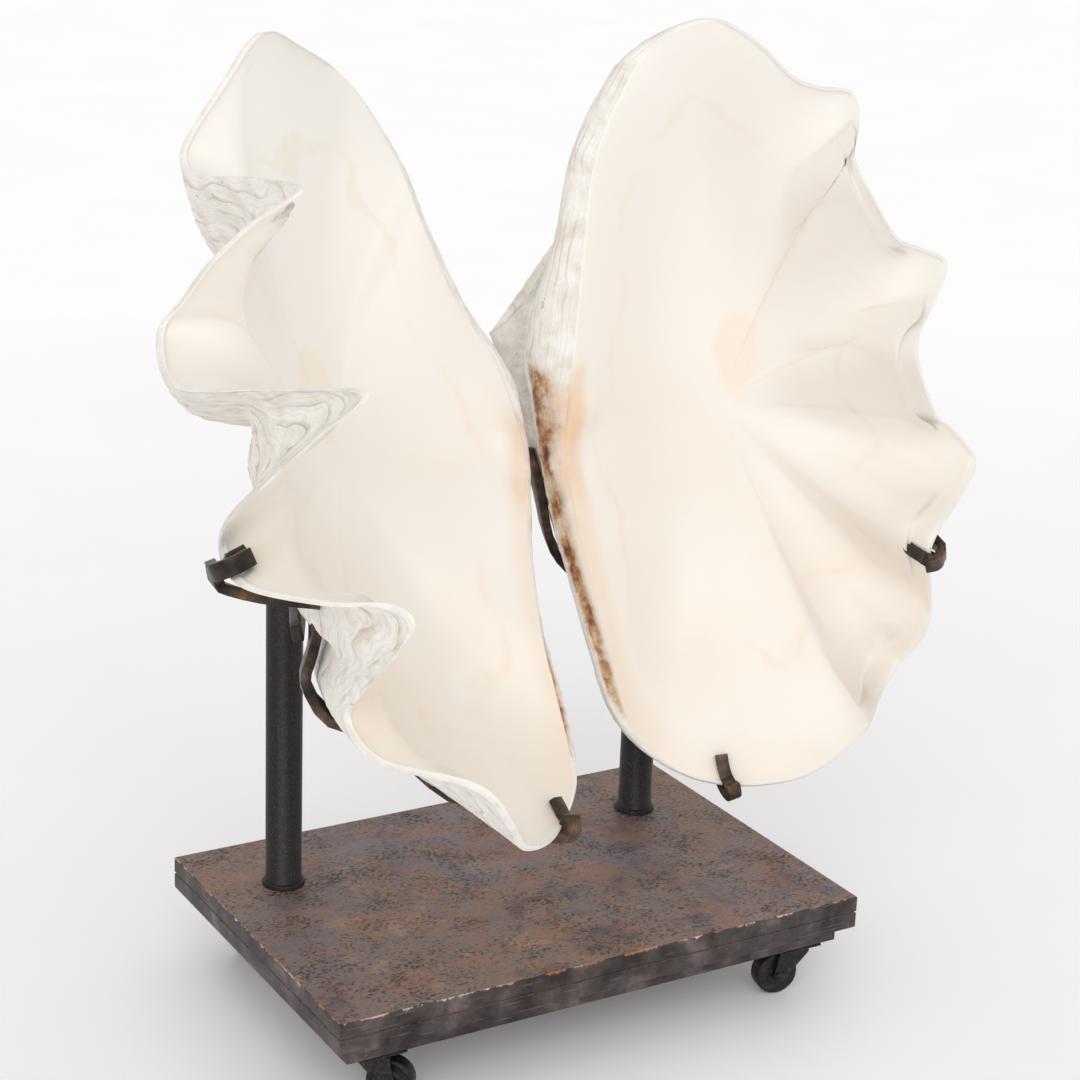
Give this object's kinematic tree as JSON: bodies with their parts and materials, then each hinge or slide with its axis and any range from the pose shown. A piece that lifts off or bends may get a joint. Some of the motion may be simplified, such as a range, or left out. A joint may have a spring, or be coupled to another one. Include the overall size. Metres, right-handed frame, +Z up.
{
  "type": "giant clam shell",
  "caption": "Giant fluted clam valves held open like wings by hooked bars on posts over a thick rolling deck.",
  "frame": {"origin": "floor under the middle of the whole object, on Z = 0 where the casters roll", "axes": "+Z up, +X along the deck's long side towards the valve that faces the viewer, -Y towards the front, where both hollows open"},
  "size_m": [0.79, 0.5359, 0.8446],
  "materials": {
    "shell": "porcelain-like cream inside, chalky white outside",
    "deck": "dark rust-brown patinated steel",
    "post": "blackened round bar steel",
    "bar": "brown-bronze patinated bar",
    "caster": "dark iron",
    "wheel": "dark iron with a worn tread"
  },
  "bodies": {
    "stand": {"left_valve": "shell", "right_valve": "shell", "deck_top_slab": "deck", "deck_lower_slab": "deck", "left_post": "post", "right_post": "post", "left_cradle_bar": "bar", "right_cradle_bar": "bar", "left_rest_bar": "bar", "right_rest_bar": "bar", "caster_plate_front_left": "caster", "caster_plate_front_right": "caster", "caster_plate_back_left": "caster", "caster_plate_back_right": "caster"},
    "fork_front_left": {"caster_fork_front_left": "caster"},
    "wheel_front_left": {"caster_wheel_front_left": "wheel"},
    "fork_front_right": {"caster_fork_front_right": "caster"},
    "wheel_front_right": {"caster_wheel_front_right": "wheel"},
    "fork_back_left": {"caster_fork_back_left": "caster"},
    "wheel_back_left": {"caster_wheel_back_left": "wheel"},
    "fork_back_right": {"caster_fork_back_right": "caster"},
    "wheel_back_right": {"caster_wheel_back_right": "wheel"}
  },
  "joints": [
    {"name": "swivel_front_left", "type": "hinge", "parent": "stand", "child": "fork_front_left", "pos_m": [-0.2271, -0.0406, 0.046], "axis": [0, 0, 1], "continuous": true},
    {"name": "wheel_spin_front_left", "type": "hinge", "parent": "fork_front_left", "child": "wheel_front_left", "pos_m": [-0.21607, -0.04922, 0.02], "axis": [0.6157, 0.788, 0], "continuous": true},
    {"name": "swivel_front_right", "type": "hinge", "parent": "stand", "child": "fork_front_right", "pos_m": [0.1889, -0.0406, 0.046], "axis": [0, 0, 1], "continuous": true},
    {"name": "wheel_spin_front_right", "type": "hinge", "parent": "fork_front_right", "child": "wheel_front_right", "pos_m": [0.17511, -0.03817, 0.02], "axis": [-0.1736, -0.9848, 0], "continuous": true},
    {"name": "swivel_back_left", "type": "hinge", "parent": "stand", "child": "fork_back_left", "pos_m": [-0.2271, 0.2354, 0.046], "axis": [0, 0, 1], "continuous": true},
    {"name": "wheel_spin_back_left", "type": "hinge", "parent": "fork_back_left", "child": "wheel_back_left", "pos_m": [-0.21315, 0.23662, 0.02], "axis": [-0.0872, 0.9962, 0], "continuous": true},
    {"name": "swivel_back_right", "type": "hinge", "parent": "stand", "child": "fork_back_right", "pos_m": [0.1889, 0.2354, 0.046], "axis": [0, 0, 1], "continuous": true},
    {"name": "wheel_spin_back_right", "type": "hinge", "parent": "fork_back_right", "child": "wheel_back_right", "pos_m": [0.19547, 0.24776, 0.02], "axis": [-0.8829, 0.4695, 0], "continuous": true}
  ]
}
